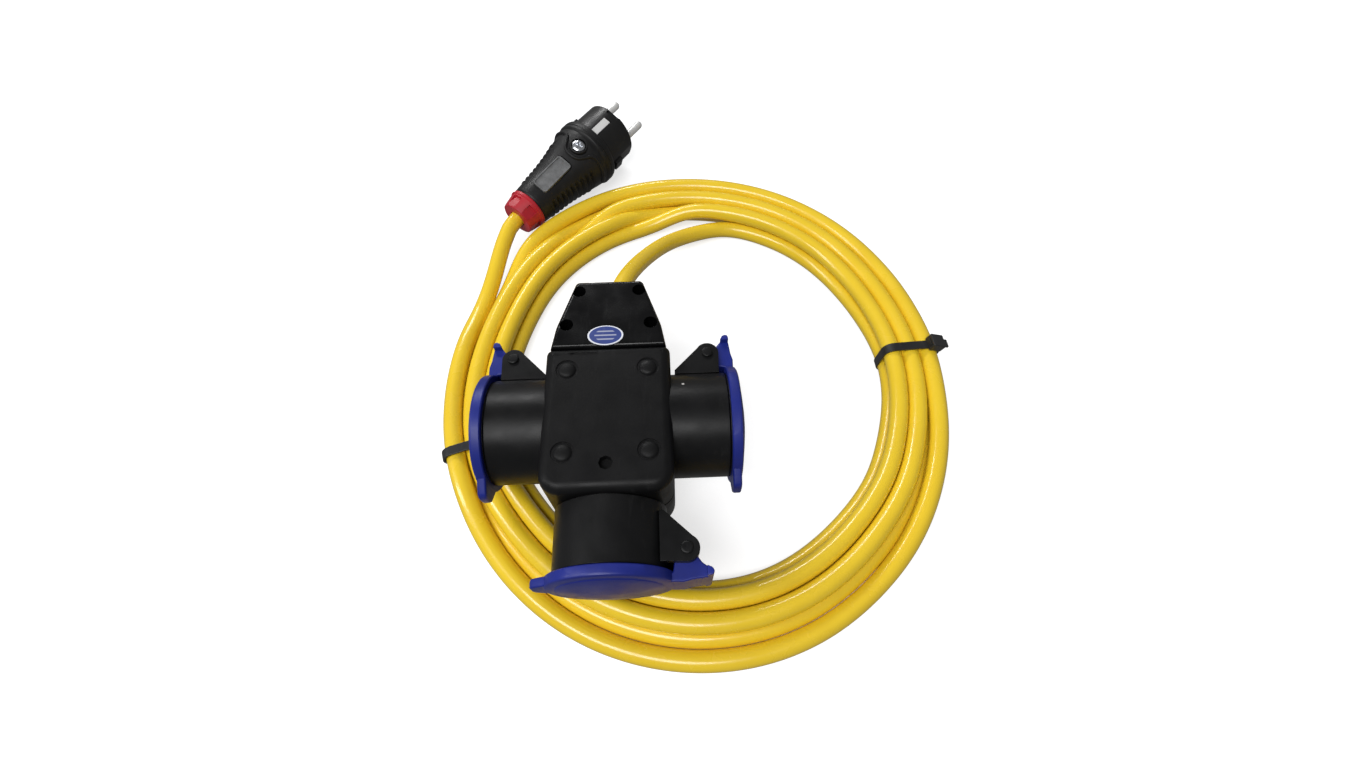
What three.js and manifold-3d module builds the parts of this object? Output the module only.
// Extension cord with a three-way block: a T-shaped block with three spring-lidded outlets,
// a yellow cord coiled beside and under it, two cable ties and a grounded two-pin plug.
// Millimetres. The origin is the middle of the block's box; +X is right, +Y points to the
// cord entry and +Z out of the block's front. The floor is FLOOR below the block's middle.
import * as THREE from "three";
import { mergeVertices } from "three/addons/utils/BufferGeometryUtils.js";
import Module from "manifold-3d";

const wasm = await Module();
wasm.setup();

// ---- driving dimensions ----
const GAP = 0.3; // clearance between pieces that touch
const ROUND = 24; // sides of the large round pieces
const ROUND_SMALL = 20;
// body
const BARREL_R = 22.5;
const BODY_WIDTH = 2 * BARREL_R + 7.2;
const BODY_TOP = 27.6; // where the entry hood begins
const BODY_BOTTOM = -36;
const BODY_HALF_DEPTH = BARREL_R + 1.5;
const BODY_CORNER = 8;
const BODY_EDGE = 3; // rounding of the front and back edges
const WALL = 3.2;
const BODY_SCREW_X = BODY_WIDTH / 2 - 9.4;
const BODY_SCREW_YS = [BODY_TOP - 11.1, BODY_BOTTOM + 15.7];
const DOME_R = 3.7; // the round domes over the body screws
const DOME_RISE = 0.9;
const HANG_HOLE_Y = BODY_BOTTOM + 11;
const HANG_HOLE_R = 2.8;

// hood
const HOOD_END = 63.1;
const HOOD_BEND = BODY_TOP + 11.2;
const HOOD_INSETS = [1.5, 3.3, 11.2]; // from the body's width, at the body, at the bend and at the end
const HOOD_HALF_WIDTHS = HOOD_INSETS.map((inset) => BODY_WIDTH / 2 - inset);
const HOOD_HALF_DEPTH = BODY_HALF_DEPTH - 1;
const HOOD_EDGE = 2.4;
const HOOD_WALL = 2.6;
const HOOD_SCREWS = [
  [HOOD_HALF_WIDTHS[2] - 1.6, HOOD_END - 5.8],
  [HOOD_HALF_WIDTHS[1] - 4.6, HOOD_BEND + 0.7],
];
const HOOD_COUNTERBORE_R = 3;
const HOOD_SCREW_SEAT = 5; // height of the counterbore's floor
const LABEL_HALF = [7.7, 5];
const LABEL_AT = [-1.2, BODY_TOP + 5.8];

// outlets, each in a frame of its own: x = 0 at the lid seam and growing outwards,
// +y towards the hinge, z along the hinge pin
const SIDE_SEAM = BODY_WIDTH / 2 + 22.3;
const BOTTOM_SEAM = -BODY_BOTTOM + 25.2;
const BARREL_BORE_R = BARREL_R - 1.8;
const NECK_R = BARREL_R - 2;
const NECK_BORE_R = NECK_R - 2.5;
const SEAT = 1.8; // how deep a barrel's foot sits in the body's wall
const STEP_BACK = 22.6; // from the seam to the barrel's inner shoulder
const RECESS_R = BARREL_BORE_R - 1.4;
const RECESS_FLOOR = 18; // from the seam
const INSERT_BACK = 27;
const CONTACT_SPACING = 19;
const CONTACT_R = 3;
const CONTACT_LENGTH = 16.2;
const LID_R = BARREL_R + 2.7;
const LID_EDGE = 5.8; // from the seam to the outer face of the rim
const LID_HEIGHT = 8.8; // from the seam to the middle of the dome
const BARREL_LIP = 0.9; // how far the barrel's rim stands out past the hinge's seam line
const NOSE_REACH = LID_R + 5;
const HINGE_OUT = BARREL_R + 7.15; // pin to barrel axis
const HINGE_IN = 5.8; // pin to seam
const PIN_R = 1.5;
const KNUCKLE_R = 4.1;
const EAR_R = 5;
const EAR_INNER = 8.7;
const EAR_OUTER = 12.2;
const EAR_BASE = 20;

// cord, coil and ties
const CORD_R = 4.55;
const CORD_HOLE_R = CORD_R + GAP;
const COIL_CENTRE = [38.5, 44.5];
const COIL_OUTER = [125, 137.8];
const COIL_WIDTH = 6.9 * CORD_R; // three turns in the lower layer and three nested on them
const COIL_HEIGHT = 3.78 * CORD_R;
const FLOOR = -(LID_R + COIL_HEIGHT + 0.8); // the lids just clear the coil as they swing
const TIE_WIDTH = 4.6;
const TIE_THICK = 1.3;

// plug, in a frame of its own: x = 0 at the rear of the collar and growing to the pins
const PLUG_AT = [-61.2, 151.6];
const PLUG_TURN = 51; // the way its pins point, from +X
const PLUG_RISE = 4; // its widest part lies on the floor and its collar hangs lower
const PLUG_ROLL = 20;
const PLUG_AXIS_HEIGHT = 16.6; // at the rear
const PLUG_FACE = 88;
const PLUG_FACE_R = 17.8;
const PLUG_HOOD_END = 67.5;
const COLLAR_LENGTH = 11;
const PLUG_PIN_R = 2.4;
const PLUG_PIN_REACH = 19;

// ---- materials ----
const material = (color, roughness, metalness = 0) =>
  new THREE.MeshStandardMaterial({ color, roughness, metalness });
const blackMatte = () => material(0x151515, 0.6);
const blackGloss = () => material(0x0d0d0e, 0.3);
const rubber = () => material(0x111111, 0.75);
const blue = () => material(0x1c2f9a, 0.45);
const red = () => material(0xb81622, 0.45);
const yellow = () => material(0xe8c21f, 0.3);
const steel = () => material(0xb9bcc0, 0.3, 1);
const brass = () => material(0xb58d3f, 0.35, 1);
const labelBlue = () => material(0x24439c, 0.4);

// ---- solids ----
function solid(geometry) {
  const bare = new THREE.BufferGeometry();
  const source = geometry.index ? geometry.toNonIndexed() : geometry;
  bare.setAttribute("position", source.getAttribute("position"));
  const merged = mergeVertices(bare, 1e-3);
  const vertProperties = new Float32Array(merged.attributes.position.array);
  const triVerts = new Uint32Array(merged.index.array);
  const made = new wasm.Manifold(new wasm.Mesh({ numProp: 3, vertProperties, triVerts }));
  if (made.volume() > 0) return made;
  for (let i = 0; i < triVerts.length; i += 3) {
    [triVerts[i + 1], triVerts[i + 2]] = [triVerts[i + 2], triVerts[i + 1]];
  }
  return new wasm.Manifold(new wasm.Mesh({ numProp: 3, vertProperties, triVerts }));
}

function geometryOf(made) {
  const mesh = made.getMesh();
  const geometry = new THREE.BufferGeometry();
  geometry.setAttribute("position", new THREE.BufferAttribute(mesh.vertProperties, mesh.numProp));
  geometry.setIndex(new THREE.BufferAttribute(mesh.triVerts, 1));
  geometry.computeVertexNormals();
  return geometry;
}

function piece(name, made, look, parent) {
  const mesh = new THREE.Mesh(geometryOf(made), look);
  mesh.name = name;
  parent.add(mesh);
  return mesh;
}

const join = (first, ...rest) => rest.reduce((sum, next) => sum.add(next), first);
const cut = (first, ...rest) => rest.reduce((left, next) => left.subtract(next), first);

function box(x0, x1, y0, y1, z0, z1) {
  const geometry = new THREE.BoxGeometry(x1 - x0, y1 - y0, z1 - z0);
  geometry.translate((x0 + x1) / 2, (y0 + y1) / 2, (z0 + z1) / 2);
  return solid(geometry);
}

// a solid turned about the x axis from [x, r] points
function turned(profile, segments = 32, toX = true) {
  const points = profile.map(([x, r]) => new THREE.Vector2(Math.max(r, 0), x));
  const geometry = new THREE.LatheGeometry(points, segments);
  if (toX) geometry.rotateZ(-Math.PI / 2);
  return geometry;
}

const rod = (r, from, to) => [
  [from, 0],
  [from, r],
  [to, r],
  [to, 0],
];
const tube = (inner, outer, from, to) => [
  [from, inner],
  [from, outer],
  [to, outer],
  [to, inner],
  [from, inner],
];

// rods along each axis, through the point given by the two other coordinates
const rodX = (r, x0, x1, y = 0, z = 0, n = 12) => solid(turned(rod(r, x0, x1), n).translate(0, y, z));
const rodY = (r, y0, y1, x = 0, z = 0, n = 12) =>
  solid(turned(rod(r, y0, y1), n, false).translate(x, 0, z));
const rodZ = (r, z0, z1, x = 0, y = 0, n = 12) =>
  solid(turned(rod(r, z0, z1), n, false).rotateX(Math.PI / 2).translate(x, y, 0));

// a shape in the XY plane, between two heights, with rounded edges
function slab(shape, z0, z1, edge = 0, curveSegments = 3) {
  const geometry = new THREE.ExtrudeGeometry(shape, {
    depth: z1 - z0 - 2 * edge,
    bevelEnabled: edge > 0,
    bevelThickness: edge,
    bevelSize: edge,
    bevelOffset: -edge,
    bevelSegments: 2,
    curveSegments,
  });
  geometry.translate(0, 0, z0 + edge);
  return solid(geometry);
}

const outline = (points) => new THREE.Shape(points.map(([x, y]) => new THREE.Vector2(x, y)));

function roundedBox(x0, x1, y0, y1, low, high = low) {
  const shape = new THREE.Shape();
  shape.moveTo(x0 + low, y0);
  shape.lineTo(x1 - low, y0);
  shape.absarc(x1 - low, y0 + low, low, -Math.PI / 2, 0);
  shape.lineTo(x1, y1 - high);
  shape.absarc(x1 - high, y1 - high, high, 0, Math.PI / 2);
  shape.lineTo(x0 + high, y1);
  shape.absarc(x0 + high, y1 - high, high, Math.PI / 2, Math.PI);
  shape.lineTo(x0, y0 + low);
  shape.absarc(x0 + low, y0 + low, low, Math.PI, 1.5 * Math.PI);
  return shape;
}

function tubeAlong(points, radius, steps, sides = 8) {
  const curve = new THREE.CatmullRomCurve3(points.map((p) => new THREE.Vector3(...p)));
  const section = new THREE.Shape();
  for (let i = 0; i < sides; i++) {
    const a = (2 * Math.PI * (i + 0.5)) / sides;
    const r = radius * 1.03;
    if (i === 0) section.moveTo(r * Math.cos(a), r * Math.sin(a));
    else section.lineTo(r * Math.cos(a), r * Math.sin(a));
  }
  const geometry = new THREE.ExtrudeGeometry(section, { steps, extrudePath: curve });
  return solid(geometry);
}

const root = new THREE.Group();
const halfFront = (front) =>
  front ? box(-200, 200, -200, 200, GAP / 2, 200) : box(-200, 200, -200, 200, -200, -GAP / 2);

// a screw along z, its head's underside at seat and its shaft going down from there
function screwAt(name, x, y, seat, headR, headHeight, shaftR, length, turnedOver, parent) {
  const profile = [
    [seat - length, 0],
    [seat - length, shaftR],
    [seat, shaftR],
    [seat, headR],
    [seat + headHeight * 0.6, headR],
    [seat + headHeight, headR * 0.7],
    [seat + headHeight, 0],
  ];
  const made = solid(turned(profile, 10, false).rotateX(Math.PI / 2));
  const mesh = piece(name, made, steel(), parent);
  mesh.position.set(x, y, 0);
  if (turnedOver) mesh.rotation.x = Math.PI;
  return mesh;
}

// ---- body ----
function bodyShell(front) {
  const half = BODY_WIDTH / 2;
  const outer = slab(
    roundedBox(-half, half, BODY_BOTTOM, BODY_TOP, BODY_CORNER, BODY_EDGE + 0.2),
    -BODY_HALF_DEPTH,
    BODY_HALF_DEPTH,
    BODY_EDGE,
  );
  const innerDepth = BODY_HALF_DEPTH - WALL;
  const hollow = slab(
    roundedBox(-half + WALL, half - WALL, BODY_BOTTOM + WALL, BODY_TOP + 10, BODY_CORNER - WALL),
    -innerDepth,
    innerDepth,
  );
  let shell = cut(outer, hollow);
  const headSink = 7;
  for (const sx of [-1, 1]) {
    for (const y of BODY_SCREW_YS) {
      const x = sx * BODY_SCREW_X;
      shell = shell.add(rodZ(3.8, -innerDepth - 1, innerDepth + 1, x, y));
      if (!front) shell = shell.add(rodZ(4.6, -innerDepth - 1, -BODY_HALF_DEPTH + headSink + 2, x, y));
      shell = shell.subtract(rodZ(1.7, -BODY_HALF_DEPTH, 15, x, y));
      if (!front) shell = shell.subtract(rodZ(3.3, -60, -BODY_HALF_DEPTH + headSink, x, y));
    }
  }
  if (front) {
    shell = shell.add(rodZ(HANG_HOLE_R + 1.7, innerDepth - 3, innerDepth + 1, 0, HANG_HOLE_Y));
    shell = shell.subtract(rodZ(HANG_HOLE_R, innerDepth - 1.5, 60, 0, HANG_HOLE_Y));
  }
  const seatR = BARREL_R + GAP;
  for (const sx of [-1, 1]) {
    const wallX = sx * half;
    const seat = sx * (half - SEAT);
    shell = shell.subtract(rodX(seatR, Math.min(seat, sx * 60), Math.max(seat, sx * 60), 0, 0, ROUND));
    const from = wallX - sx * (WALL + 1);
    shell = shell.subtract(
      rodX(NECK_R + GAP, Math.min(from, sx * 60), Math.max(from, sx * 60), 0, 0, ROUND),
    );
  }
  shell = shell.subtract(rodY(seatR, -90, BODY_BOTTOM + SEAT, 0, 0, ROUND));
  shell = shell.subtract(rodY(NECK_R + GAP, -90, BODY_BOTTOM + WALL + 1, 0, 0, ROUND));
  shell = shell.intersect(halfFront(front));
  if (front) {
    for (const sx of [-1, 1]) {
      for (const y of BODY_SCREW_YS) {
        const top = BODY_HALF_DEPTH + DOME_RISE;
        const dome = turned(
          [
            [BODY_HALF_DEPTH - 1, 0],
            [BODY_HALF_DEPTH - 1, DOME_R],
            [BODY_HALF_DEPTH + 0.1, DOME_R],
            [top, DOME_R * 0.6],
            [top, 0],
          ],
          12,
          false,
        );
        shell = shell.add(solid(dome.rotateX(Math.PI / 2).translate(sx * BODY_SCREW_X, y, 0)));
      }
    }
  }
  return shell;
}

for (const front of [true, false]) {
  const name = front ? "body_front_shell" : "body_back_shell";
  piece(name, bodyShell(front), blackMatte(), root);
}
let screwNumber = 1;
for (const sx of [-1, 1]) {
  for (const y of BODY_SCREW_YS) {
    const seat = BODY_HALF_DEPTH - 7 + GAP;
    screwAt("body_screw_" + screwNumber, sx * BODY_SCREW_X, y, seat, 3, 2.4, 1.4, 28, true, root);
    screwNumber++;
  }
}

// ---- entry hood ----
function hoodOutline(inset, from, to) {
  const [w0, w1, w2] = HOOD_HALF_WIDTHS.map((w) => w - inset);
  return outline([
    [-w0, from],
    [w0, from],
    [w1, HOOD_BEND],
    [w2, to],
    [-w2, to],
    [-w1, HOOD_BEND],
  ]);
}

const CLAMP_Y = [44, 50];
const CLAMP_HALF = 12;
const CLAMP_SCREW_X = 9;

function hoodShell(front) {
  const from = BODY_TOP + GAP;
  const depth = HOOD_HALF_DEPTH;
  const outer = slab(hoodOutline(0, from, HOOD_END), -depth, depth, HOOD_EDGE);
  const innerDepth = depth - HOOD_WALL;
  const hollow = slab(hoodOutline(HOOD_WALL, from - 5, HOOD_END - HOOD_WALL), -innerDepth, innerDepth);
  let shell = cut(outer, hollow);
  for (const sx of [-1, 1]) {
    for (const [x, y] of HOOD_SCREWS) {
      const pillar = rodZ(HOOD_COUNTERBORE_R + 1.4, -innerDepth - 1, innerDepth + 1, sx * x, y);
      shell = shell.add(pillar.intersect(outer));
      shell = shell.subtract(rodZ(1.7, -16, depth, sx * x, y));
      shell = shell.subtract(rodZ(HOOD_COUNTERBORE_R, HOOD_SCREW_SEAT, 60, sx * x, y));
    }
  }
  if (!front) {
    const rib = box(-CLAMP_HALF, CLAMP_HALF, CLAMP_Y[0], CLAMP_Y[1], -innerDepth - 1, -1.2);
    shell = shell.add(rib);
    for (const sx of [-1, 1]) {
      const middle = (CLAMP_Y[0] + CLAMP_Y[1]) / 2;
      shell = shell.subtract(rodZ(1.7, -13, 5, sx * CLAMP_SCREW_X, middle));
    }
    shell = shell.subtract(rodY(CORD_HOLE_R, 35, 55, 0, 0));
  }
  shell = shell.subtract(rodY(7, HOOD_END - HOOD_WALL - 1, 80, 0, 0, 24));
  shell = shell.intersect(halfFront(front));
  if (front) {
    const pocket = new THREE.Shape();
    pocket.absellipse(...LABEL_AT, LABEL_HALF[0] + GAP, LABEL_HALF[1] + GAP, 0, 2 * Math.PI);
    shell = shell.subtract(slab(pocket, depth - 0.5, depth + 2, 0, 16));
  }
  return shell;
}

piece("hood_cover", hoodShell(true), blackGloss(), root);
piece("hood_base", hoodShell(false), blackMatte(), root);
screwNumber = 1;
for (const sx of [-1, 1]) {
  for (const [x, y] of HOOD_SCREWS) {
    const seat = HOOD_SCREW_SEAT + GAP;
    screwAt("hood_screw_" + screwNumber, sx * x, y, seat, 2.6, 2.4, 1.4, 19, false, root);
    screwNumber++;
  }
}

const labelShape = new THREE.Shape();
labelShape.absellipse(...LABEL_AT, ...LABEL_HALF, 0, 2 * Math.PI);
const labelBase = HOOD_HALF_DEPTH - 0.5 + GAP;
piece("label", slab(labelShape, labelBase, labelBase + 0.3, 0, 16), labelBlue(), root);

// ---- cord clamp, cord end and gland ----
const clampMiddle = (CLAMP_Y[0] + CLAMP_Y[1]) / 2;
const CLAMP_TOP = 8;
let clamp = cut(
  box(-CLAMP_HALF, CLAMP_HALF, CLAMP_Y[0], CLAMP_Y[1], 1.2, CLAMP_TOP),
  rodY(CORD_HOLE_R, 35, 55, 0, 0),
);
for (const sx of [-1, 1]) {
  clamp = clamp.subtract(rodZ(1.7, -5, 12, sx * CLAMP_SCREW_X, clampMiddle));
}
piece("cord_clamp", clamp, rubber(), root);
[-1, 1].forEach((sx, i) => {
  const seat = CLAMP_TOP + GAP;
  const name = "clamp_screw_" + (i + 1);
  screwAt(name, sx * CLAMP_SCREW_X, clampMiddle, seat, 2.6, 2, 1.4, 19, false, root);
});

const CORD_IN_HOOD = 40;
const GLAND_END = HOOD_END + 3.6;
piece("cord_end", rodY(CORD_R, CORD_IN_HOOD, GLAND_END, 0, 0, 16), yellow(), root);
const glandProfile = [
  [HOOD_END - HOOD_WALL - GAP - 2.3, CORD_HOLE_R],
  [HOOD_END - HOOD_WALL - GAP - 2.3, 8.2],
  [HOOD_END - HOOD_WALL - GAP, 8.2],
  [HOOD_END - HOOD_WALL - GAP, 6.7],
  [HOOD_END + GAP, 6.7],
  [HOOD_END + GAP, 8.2],
  [HOOD_END + 1.8, 8.2],
  [GLAND_END, 6.4],
  [GLAND_END, CORD_HOLE_R],
  [HOOD_END - HOOD_WALL - GAP - 2.3, CORD_HOLE_R],
];
piece("entry_gland", solid(turned(glandProfile, 24, false)), rubber(), root);

// ---- outlets ----
function barrel(seamToWall) {
  const foot = -(seamToWall + SEAT - GAP);
  const neckEnd = -(seamToWall + WALL + 1.2);
  const profile = [
    [BARREL_LIP, BARREL_BORE_R],
    [BARREL_LIP, BARREL_R],
    [foot, BARREL_R],
    [foot, NECK_R],
    [neckEnd, NECK_R],
    [neckEnd, NECK_BORE_R],
    [-STEP_BACK, NECK_BORE_R],
    [-STEP_BACK, BARREL_BORE_R],
    [BARREL_LIP, BARREL_BORE_R],
  ];
  let made = solid(turned(profile, ROUND));
  const bore = rodX(BARREL_BORE_R, -STEP_BACK, 5, 0, 0, ROUND);
  for (const side of [-1, 1]) {
    const ear = new THREE.Shape();
    ear.moveTo(-1, BARREL_R - 1.6);
    ear.lineTo(-HINGE_IN + EAR_R, HINGE_OUT - 1);
    ear.absarc(-HINGE_IN, HINGE_OUT, EAR_R, -0.1, 0.8 * Math.PI);
    ear.lineTo(-EAR_BASE, BARREL_R - 1.4);
    ear.lineTo(-EAR_BASE, BARREL_R - 7.5);
    ear.lineTo(-1, BARREL_R - 7.5);
    const z = side * ((EAR_INNER + EAR_OUTER) / 2);
    const half = (EAR_OUTER - EAR_INNER) / 2;
    let plate = slab(ear, z - half, z + half);
    plate = cut(plate, bore, rodZ(PIN_R + GAP, -30, 30, -HINGE_IN, HINGE_OUT, 16));
    made = made.add(plate);
  }
  return made;
}

function socketInsert() {
  const front = -0.8;
  const shoulder = -(STEP_BACK - GAP);
  const outerR = BARREL_BORE_R - GAP;
  const backR = NECK_BORE_R - GAP;
  let made = solid(
    turned(
      [
        [-RECESS_FLOOR, 0],
        [-RECESS_FLOOR, RECESS_R],
        [front, RECESS_R],
        [front, outerR],
        [shoulder, outerR],
        [shoulder, backR],
        [-INSERT_BACK, backR],
        [-INSERT_BACK, 0],
      ],
      ROUND,
    ),
  );
  for (const side of [-1, 1]) {
    const z = (side * CONTACT_SPACING) / 2;
    made = made.subtract(rodX(2.75, -INSERT_BACK - 1, -RECESS_FLOOR + 1, 0, z, 16));
    made = made.subtract(rodX(CONTACT_R + GAP, -INSERT_BACK - 1, -RECESS_FLOOR - 2.5, 0, z, 16));
  }
  const groove = box(-RECESS_FLOOR - 1.7, -RECESS_FLOOR + 1, -RECESS_R, RECESS_R, -2.8, 2.8);
  const recess = rodX(RECESS_R, -RECESS_FLOOR - 1.7, 5, 0, 0, ROUND);
  return cut(made, groove.intersect(recess), rodX(1.8, -INSERT_BACK - 1, -RECESS_FLOOR, 0, 0, 16));
}

const CLIP_STEM_END = 30;
function earthClip() {
  const bottom = -RECESS_FLOOR - 1.4;
  const reach = RECESS_R - 0.7;
  let made = box(bottom, bottom + 1, -reach, reach, -2.5, 2.5);
  for (const side of [-1, 1]) {
    const profile = outline([
      [bottom, side * reach],
      [-4.5, side * reach],
      [-4.5, side * (reach - 0.8)],
      [-9, side * (reach - 2)],
      [-11, side * (reach - 2)],
      [bottom + 1, side * (reach - 1)],
      [bottom, side * (reach - 1)],
    ]);
    made = made.add(slab(profile, -2.5, 2.5));
  }
  return made.add(rodX(1.5, -CLIP_STEM_END, bottom + 0.5, 0, 0, 16));
}

const contactStart = -(RECESS_FLOOR + 2.5 + GAP);
const contactEnd = contactStart - CONTACT_LENGTH;
const contactTube = () => solid(turned(tube(2.4, CONTACT_R, contactEnd, contactStart), 16));

// lid in the outlet's frame
const SEAL_R = [BARREL_BORE_R + 0.2, BARREL_R - 0.4];
function lid() {
  const under = BARREL_LIP + 0.5;
  const bore = KNUCKLE_R + 0.5;
  const profile = [
    [4.2, 0],
    [4.2, SEAL_R[0] - 3.4],
    [under, SEAL_R[0] - 1.5],
    [under, SEAL_R[0] - GAP],
    [under + 1.8, SEAL_R[0] - GAP],
    [under + 1.8, SEAL_R[1] + GAP],
    [under, SEAL_R[1] + GAP],
    [under, LID_R],
    [LID_EDGE - 1.6, LID_R],
    [LID_EDGE, LID_R - 1.8],
    [LID_EDGE + 0.2, LID_R - 4.7],
    [LID_EDGE + 2, LID_R - 9.2],
    [LID_HEIGHT, LID_R - 18.2],
    [LID_HEIGHT, 0],
  ];
  let made = solid(turned(profile, ROUND));

  const nose = new THREE.Shape();
  nose.moveTo(-9, -LID_R + 3);
  nose.lineTo(9, -LID_R + 3);
  nose.lineTo(6, -NOSE_REACH + 2.5);
  nose.quadraticCurveTo(5, -NOSE_REACH, 2.5, -NOSE_REACH);
  nose.lineTo(-2.5, -NOSE_REACH);
  nose.quadraticCurveTo(-5, -NOSE_REACH, -6, -NOSE_REACH + 2.5);
  const noseGeometry = new THREE.ExtrudeGeometry(nose, { depth: 3.6, bevelEnabled: false });
  noseGeometry.rotateY(Math.PI / 2).translate(1.4, 0, 0);
  made = made.add(solid(noseGeometry));

  const arm = outline([
    [under + 2.5, LID_R - 4],
    [under + 0.4, LID_R - 1],
    [-HINGE_IN - 1, HINGE_OUT - KNUCKLE_R],
    [-HINGE_IN - KNUCKLE_R, HINGE_OUT],
    [-HINGE_IN, HINGE_OUT + KNUCKLE_R],
    [-1.5, HINGE_OUT + 5],
    [1.6, HINGE_OUT + 9.4],
    [4, HINGE_OUT + 9.6],
    [LID_EDGE, LID_R + 3],
    [LID_EDGE - 0.4, LID_R - 4],
  ]);
  const armWidth = EAR_INNER - GAP;
  made = made.add(slab(arm, -armWidth, armWidth));
  const knuckle = rodZ(KNUCKLE_R, -armWidth, armWidth, -HINGE_IN, HINGE_OUT, 20);
  made = made.add(knuckle);
  const thumb = outline([
    [-0.5, HINGE_OUT + 6.5],
    [1.6, HINGE_OUT + 9.4],
    [4, HINGE_OUT + 9.6],
    [4.4, HINGE_OUT + 6.5],
  ]);
  made = made.add(slab(thumb, -11.5, 11.5));
  const pinHole = rodZ(PIN_R + GAP, -20, 20, -HINGE_IN, HINGE_OUT, 16);
  const springRoom = rodZ(bore, -SPRING_HALF - GAP, SPRING_HALF + GAP, -HINGE_IN, HINGE_OUT, 20);
  return cut(made, pinHole, springRoom);
}

const SPRING_HALF = 3.2;
const SPRING_R = [2.2, 3.6];
const seal = () =>
  solid(turned(tube(SEAL_R[0], SEAL_R[1], BARREL_LIP + GAP, BARREL_LIP + 2), ROUND));

// a closed torsion spring: its turns as one sleeve, and its leg pressing on the barrel
function lidSpring() {
  const turns = solid(
    turned(tube(SPRING_R[0], SPRING_R[1], -SPRING_HALF, SPRING_HALF), 16, false)
      .rotateX(Math.PI / 2)
      .translate(-HINGE_IN, HINGE_OUT, 0),
  );
  const legX = -HINGE_IN - SPRING_R[1] + 0.5;
  const leg = rodY(0.5, BARREL_R + GAP + 0.5, HINGE_OUT, legX, 0, 8);
  const foot = rodX(0.5, legX - 5, legX + 0.4, BARREL_R + GAP + 0.7, 0, 8);
  return join(turns, leg, foot);
}

function hingePin() {
  const reach = EAR_OUTER + 0.6;
  const profile = [
    [-reach, 0],
    [-reach, PIN_R],
    [EAR_OUTER + GAP, PIN_R],
    [EAR_OUTER + GAP, 2.4],
    [EAR_OUTER + 0.9, 2.4],
    [EAR_OUTER + 1.3, 1.6],
    [EAR_OUTER + 1.3, 0],
  ];
  const geometry = turned(profile, 16, false).rotateX(Math.PI / 2);
  return solid(geometry.translate(-HINGE_IN, HINGE_OUT, 0));
}

const OUTLETS = [
  { name: "left", seam: SIDE_SEAM, wall: BODY_WIDTH / 2, out: [-1, 0], turn: [0, Math.PI, 0] },
  { name: "right", seam: SIDE_SEAM, wall: BODY_WIDTH / 2, out: [1, 0], turn: [0, 0, 0] },
  { name: "bottom", seam: BOTTOM_SEAM, wall: -BODY_BOTTOM, out: [0, -1], turn: [0, 0, -Math.PI / 2] },
];
for (const { name, seam, wall, out, turn } of OUTLETS) {
  const outlet = new THREE.Group();
  outlet.position.set(out[0] * seam, out[1] * seam, 0);
  outlet.rotation.set(...turn);
  root.add(outlet);
  piece("barrel_" + name, barrel(seam - wall), blackMatte(), outlet);
  piece("socket_insert_" + name, socketInsert(), blackMatte(), outlet);
  piece("earth_clip_" + name, earthClip(), steel(), outlet);
  for (const [pole, side] of [
    ["live", 1],
    ["neutral", -1],
  ]) {
    const tubeMesh = piece("contact_" + pole + "_" + name, contactTube(), brass(), outlet);
    const flip = name === "left" ? -1 : 1;
    tubeMesh.position.z = (flip * side * CONTACT_SPACING) / 2;
  }
  piece("lid_" + name, lid(), blue(), outlet);
  piece("lid_seal_" + name, seal(), rubber(), outlet);
  const pin = piece("hinge_pin_" + name, hingePin(), steel(), outlet);
  if (name === "left") pin.rotation.set(Math.PI, 0, 0);
  if (name === "left") pin.position.set(0, 2 * HINGE_OUT, 0);
  piece("lid_spring_" + name, lidSpring(), steel(), outlet);
}

// ---- busbars ----
const BAR_HALF = 2.5;
const BAR_THICK = 1.2;
function busbar(z, sideReach, bottomReach) {
  const plate = (x0, x1, y0, y1) => box(x0, x1, y0, y1, z - BAR_THICK / 2, z + BAR_THICK / 2);
  const bars = join(
    plate(-sideReach, sideReach, -BAR_HALF, BAR_HALF),
    plate(-BAR_HALF, BAR_HALF, -bottomReach, 24),
    box(-3, 3, 21, 29, z - 3, z + 3),
  );
  return cut(bars, rodY(1.6, 23, 35, 0, z, 12), rodZ(1.2, z, z + 5, 0, 26.5, 12));
}
const contactGap = -contactEnd + GAP;
for (const [name, z] of [
  ["busbar_live", CONTACT_SPACING / 2],
  ["busbar_neutral", -CONTACT_SPACING / 2],
]) {
  piece(name, busbar(z, SIDE_SEAM - contactGap, BOTTOM_SEAM - contactGap), brass(), root);
}
const stemGap = CLIP_STEM_END + GAP;
piece("busbar_earth", busbar(0, SIDE_SEAM - stemGap, BOTTOM_SEAM - stemGap), brass(), root);

// ---- plug ----
const plug = new THREE.Group();
plug.position.set(PLUG_AT[0], PLUG_AT[1], FLOOR + PLUG_AXIS_HEIGHT);
plug.rotation.set(
  ...[PLUG_ROLL, -PLUG_RISE, PLUG_TURN].map((angle) => THREE.MathUtils.degToRad(angle)),
  "ZYX",
);
root.add(plug);

const PLUG_PROFILE = [
  [COLLAR_LENGTH + GAP, 12.1],
  [16, 12.5],
  [30, 13.8],
  [43, 15.9],
  [53, 18.3],
  [PLUG_HOOD_END - 7.5, 19.4],
  [PLUG_HOOD_END - 5.9, 20.3],
  [PLUG_HOOD_END - 1, 20.5],
  [PLUG_HOOD_END, 19.7],
];
const PLUG_BORE_R = PLUG_FACE_R + 0.4;
const FACE_SHANK_R = PLUG_FACE_R - 1.8;
const PLUG_SCREW_X = 54;
const EARTH_TOP = PLUG_FACE_R - 0.5;
const EARTH_HALF_WIDTH = 2.3;
const FACE_REAR = PLUG_HOOD_END - 4;
const PLUG_SCREW_SEAT = 16.4;

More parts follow.
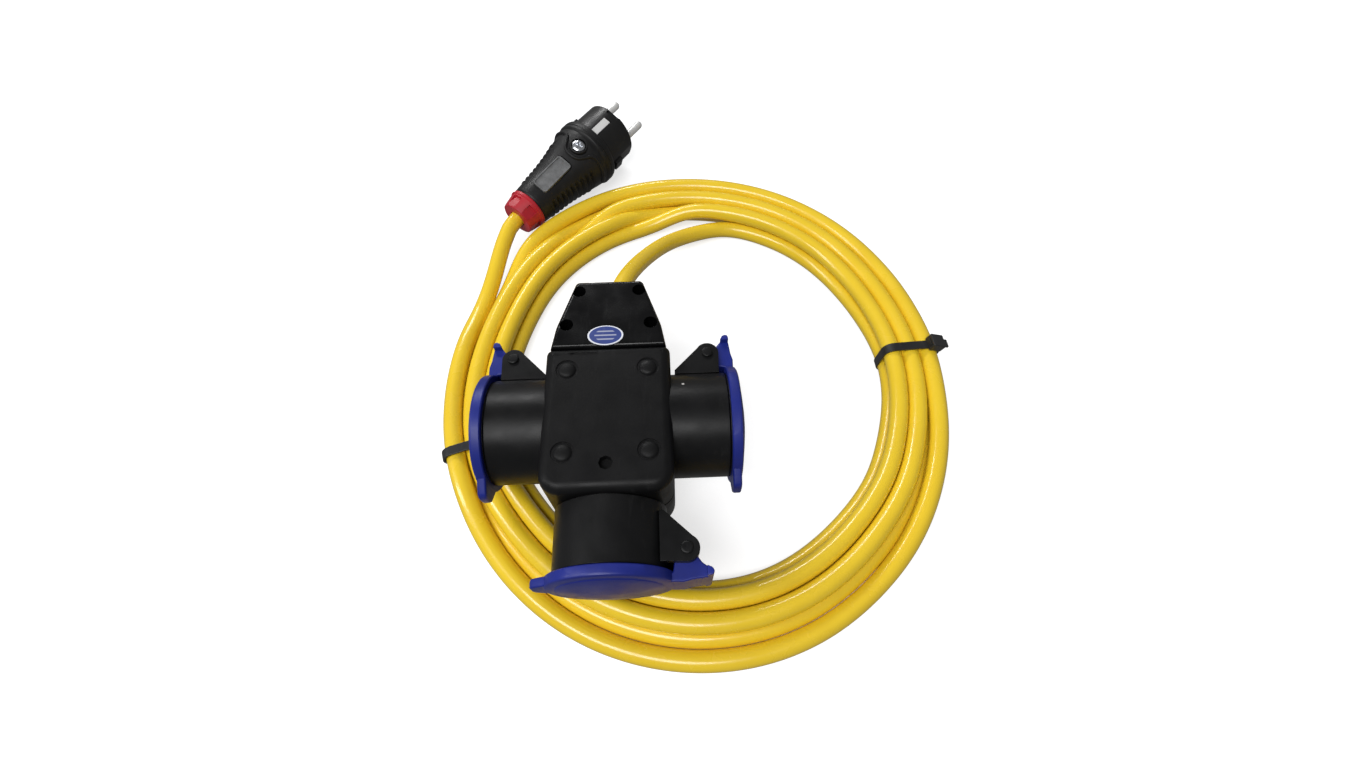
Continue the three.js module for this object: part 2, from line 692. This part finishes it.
function plugHood() {
  const made = solid(
    turned(
      [
        [3.3, CORD_HOLE_R],
        [3.3, 7.6],
        [COLLAR_LENGTH + GAP, 7.6],
        ...PLUG_PROFILE,
        [PLUG_HOOD_END, PLUG_BORE_R],
        [61, PLUG_BORE_R],
        [59, 13.6],
        [43, 11.4],
        [28, 8],
        [24, CORD_HOLE_R],
        [3.3, CORD_HOLE_R],
      ],
      ROUND_SMALL,
    ),
  );
  return cut(
    made,
    rodZ(4.4, PLUG_SCREW_SEAT, 30, PLUG_SCREW_X, 0),
    rodZ(1.8, 0, 30, PLUG_SCREW_X, 0),
    box(18, 41, -4.9, 4.9, 12.6, 30),
  );
}

function plugFace() {
  const body = solid(
    turned(
      [
        [FACE_REAR, 0],
        [FACE_REAR, FACE_SHANK_R],
        [PLUG_HOOD_END + GAP, FACE_SHANK_R],
        [PLUG_HOOD_END + GAP, PLUG_FACE_R],
        [PLUG_FACE - 1, PLUG_FACE_R],
        [PLUG_FACE, PLUG_FACE_R - 1],
        [PLUG_FACE, 0],
      ],
      ROUND_SMALL,
    ),
  );
  let made = body;
  for (const side of [-1, 1]) {
    made = made.subtract(rodX(PLUG_PIN_R + GAP, 60, 100, side * 9.5, 0, 16));
    const near = EARTH_TOP - 1.2 - GAP;
    const low = Math.min(side * near, side * (near + 9));
    const half = EARTH_HALF_WIDTH + GAP;
    made = made.subtract(box(60, PLUG_FACE - 1.5, -half, half, low, low + 9));
  }
  return made;
}

function plugEarthContact() {
  const rear = FACE_REAR - 1.2 - GAP;
  const arms = [-1, 1].map((side) => {
    const low = side > 0 ? EARTH_TOP - 1.2 : -EARTH_TOP;
    return box(rear, PLUG_FACE - 7, -EARTH_HALF_WIDTH, EARTH_HALF_WIDTH, low, low + 1.2);
  });
  const bar = box(rear, rear + 1.2, -EARTH_HALF_WIDTH, EARTH_HALF_WIDTH, -EARTH_TOP, EARTH_TOP);
  return join(bar, ...arms);
}

function plugPin(side) {
  const tip = PLUG_FACE + PLUG_PIN_REACH;
  const profile = [
    [62, 0],
    [62, PLUG_PIN_R],
    [tip - 2, PLUG_PIN_R],
    [tip - 0.7, PLUG_PIN_R * 0.8],
    [tip, PLUG_PIN_R * 0.35],
    [tip, 0],
  ];
  return solid(turned(profile, 16).translate(0, side * 9.5, 0));
}

function plugCollar() {
  const made = solid(
    turned(
      [
        [0, CORD_HOLE_R],
        [0, 10],
        [1, 10.8],
        [COLLAR_LENGTH - 0.6, 12.2],
        [COLLAR_LENGTH, 11.8],
        [COLLAR_LENGTH, 7.9],
        [3, 7.9],
        [3, CORD_HOLE_R],
        [0, CORD_HOLE_R],
      ],
      ROUND_SMALL,
    ),
  );
  const notches = [];
  for (let i = 0; i < 6; i++) {
    const notch = box(-1, 5, 10.1, 15, -2.4, 2.4);
    const geometry = geometryOf(notch).rotateX((i * Math.PI) / 3);
    notches.push(solid(geometry));
  }
  return cut(made, ...notches);
}

piece("plug_hood", plugHood(), rubber(), plug);
piece("plug_face", plugFace(), blackMatte(), plug);
piece("plug_collar", plugCollar(), red(), plug);
piece("plug_earth_contact", plugEarthContact(), steel(), plug);
[1, -1].forEach((side, i) => piece("plug_pin_" + (i + 1), plugPin(side), steel(), plug));
screwAt("plug_screw", PLUG_SCREW_X, 0, PLUG_SCREW_SEAT + GAP, 3.8, 2, 1.5, 10, false, plug);

// ---- coil, leads and ties ----
const plugAxis = new THREE.Vector3(1, 0, 0).applyEuler(plug.rotation);
const collarRear = plug.position.clone().addScaledVector(plugAxis, -GAP);
const lay = FLOOR + 1.03 * CORD_R + 0.2; // height of a cord that lies on the floor
const LEAD_TO_PLUG = [
  collarRear.toArray(),
  collarRear.clone().addScaledVector(plugAxis, -3.5).toArray(),
  [-67.8, 140.5, -28.5],
  [-69.6, 131, -30.2],
  [-71.8, 117, -32.8],
  [-74.8, 102, -35],
  [-78.6, 88.5, -36.4],
];
const LEAD_TO_BLOCK = [
  [0, GLAND_END + GAP, 0],
  [0, GLAND_END + 4, 0],
  [2.8, GLAND_END + 12.3, -1.5],
  [7.3, GLAND_END + 25.5, -7],
  [13.6, GLAND_END + 41, -15.5],
  [22.3, GLAND_END + 57, -24.5],
  [33.5, GLAND_END + 71.5, -32.6],
  [48, GLAND_END + 82, lay + 1.2],
  [62, GLAND_END + 87.6, lay + 0.2],
];

function coilRing() {
  const [sx, sy] = COIL_OUTER;
  const outerR = (sx + sy) / 2;
  const section = roundedBox(outerR - COIL_WIDTH, outerR, 0, COIL_HEIGHT, 4.2);
  const points = section.getPoints(1);
  points.push(points[0].clone());
  const geometry = new THREE.LatheGeometry(points, 40);
  geometry.rotateX(Math.PI / 2);
  geometry.scale(sx / outerR, sy / outerR, 1);
  geometry.translate(...COIL_CENTRE, FLOOR + 0.05);
  return solid(geometry);
}

// the ends of the two leads lie in the coil, in a channel that keeps the gap round them
function channelFor(points) {
  const last = new THREE.Vector3(...points[points.length - 1]);
  const before = new THREE.Vector3(...points[points.length - 2]);
  const onward = last.clone().sub(before).normalize().multiplyScalar(GAP);
  const stretched = [...points.slice(0, -1), last.add(onward).toArray()];
  return tubeAlong(stretched, CORD_R + GAP + 0.1, points.length * 2);
}

// a cable tie round the coil's section, in a frame of its own: x outwards, z up, y along the cord
const NECK = { width: COIL_WIDTH - 3, low: 1.75, high: COIL_HEIGHT - 2.3, corner: 5.4 };
function tieLoop(grow, halfWidth) {
  const shape = roundedBox(
    -NECK.width / 2 - grow,
    NECK.width / 2 + grow,
    NECK.low - grow,
    NECK.high + grow,
    NECK.corner + grow,
  );
  const geometry = new THREE.ExtrudeGeometry(shape, {
    depth: 2 * halfWidth,
    bevelEnabled: false,
    curveSegments: 2,
  });
  return geometry.rotateX(Math.PI / 2).translate(0, halfWidth, 0);
}

// headAt: x and z of the head's middle in the tie's frame; the head grows out of the strap
function tie(head) {
  const strap = cut(solid(tieLoop(TIE_THICK, TIE_WIDTH / 2)), solid(tieLoop(0, TIE_WIDTH)));
  const [x, z, width, height] = head.box;
  const block = box(x - width / 2, x + width / 2, -3.6, 3.6, z - height / 2, z + height / 2);
  const tail = box(...head.tail);
  return join(cut(block, solid(tieLoop(0, TIE_WIDTH * 2))), strap, tail);
}

const TIES = [
  {
    name: "tie_right",
    angle: 3,
    box: [9.2, NECK.high + 3, 7.5, 5.4],
    tail: [9, 17.8, -2.3, 2.3, NECK.high + 2.9, NECK.high + 4.2],
  },
  {
    name: "tie_left",
    angle: 198,
    box: [-NECK.width / 2 - 2.6, 8.2, 5, 7],
    tail: [-NECK.width / 2 - 2.6, -NECK.width / 2 - 1.3, -2.3, 2.3, 3, 8],
  },
];

let coil = cut(coilRing(), channelFor(LEAD_TO_PLUG), channelFor(LEAD_TO_BLOCK));
for (const setting of TIES) {
  const angle = THREE.MathUtils.degToRad(setting.angle);
  const [sx, sy] = COIL_OUTER;
  const middle = 1 - COIL_WIDTH / (sx + sy);
  const at = new THREE.Vector3(
    COIL_CENTRE[0] + sx * middle * Math.cos(angle),
    COIL_CENTRE[1] + sy * middle * Math.sin(angle),
    FLOOR,
  );
  const around = Math.atan2(Math.sin(angle) / sy, Math.cos(angle) / sx);
  const mesh = piece(setting.name, tie(setting), rubber(), root);
  mesh.position.copy(at);
  mesh.rotation.z = around;
  const wide = solid(tieLoop(30, TIE_WIDTH / 2 + 0.5));
  const neck = solid(tieLoop(-GAP, TIE_WIDTH));
  const groove = geometryOf(cut(wide, neck)).rotateZ(around).translate(at.x, at.y, at.z);
  const headRoom = box(
    setting.box[0] - setting.box[2] / 2 - GAP,
    setting.box[0] + setting.box[2] / 2 + GAP,
    -3.9,
    3.9,
    setting.box[1] - setting.box[3] / 2 - GAP,
    setting.box[1] + setting.box[3] / 2 + GAP,
  );
  const head = geometryOf(headRoom.subtract(neck)).rotateZ(around).translate(at.x, at.y, at.z);
  coil = cut(coil, solid(groove), solid(head));
}
piece("cord_coil", coil, yellow(), root);
piece("lead_to_plug", tubeAlong(LEAD_TO_PLUG, CORD_R, 10), yellow(), root);
piece("lead_to_block", tubeAlong(LEAD_TO_BLOCK, CORD_R, 14), yellow(), root);

// the origin goes to the middle of the block's box
root.position.y = -(HOOD_END - BOTTOM_SEAM - LID_HEIGHT) / 2;
const extensionCord = new THREE.Group();
extensionCord.add(root);

export default extensionCord;
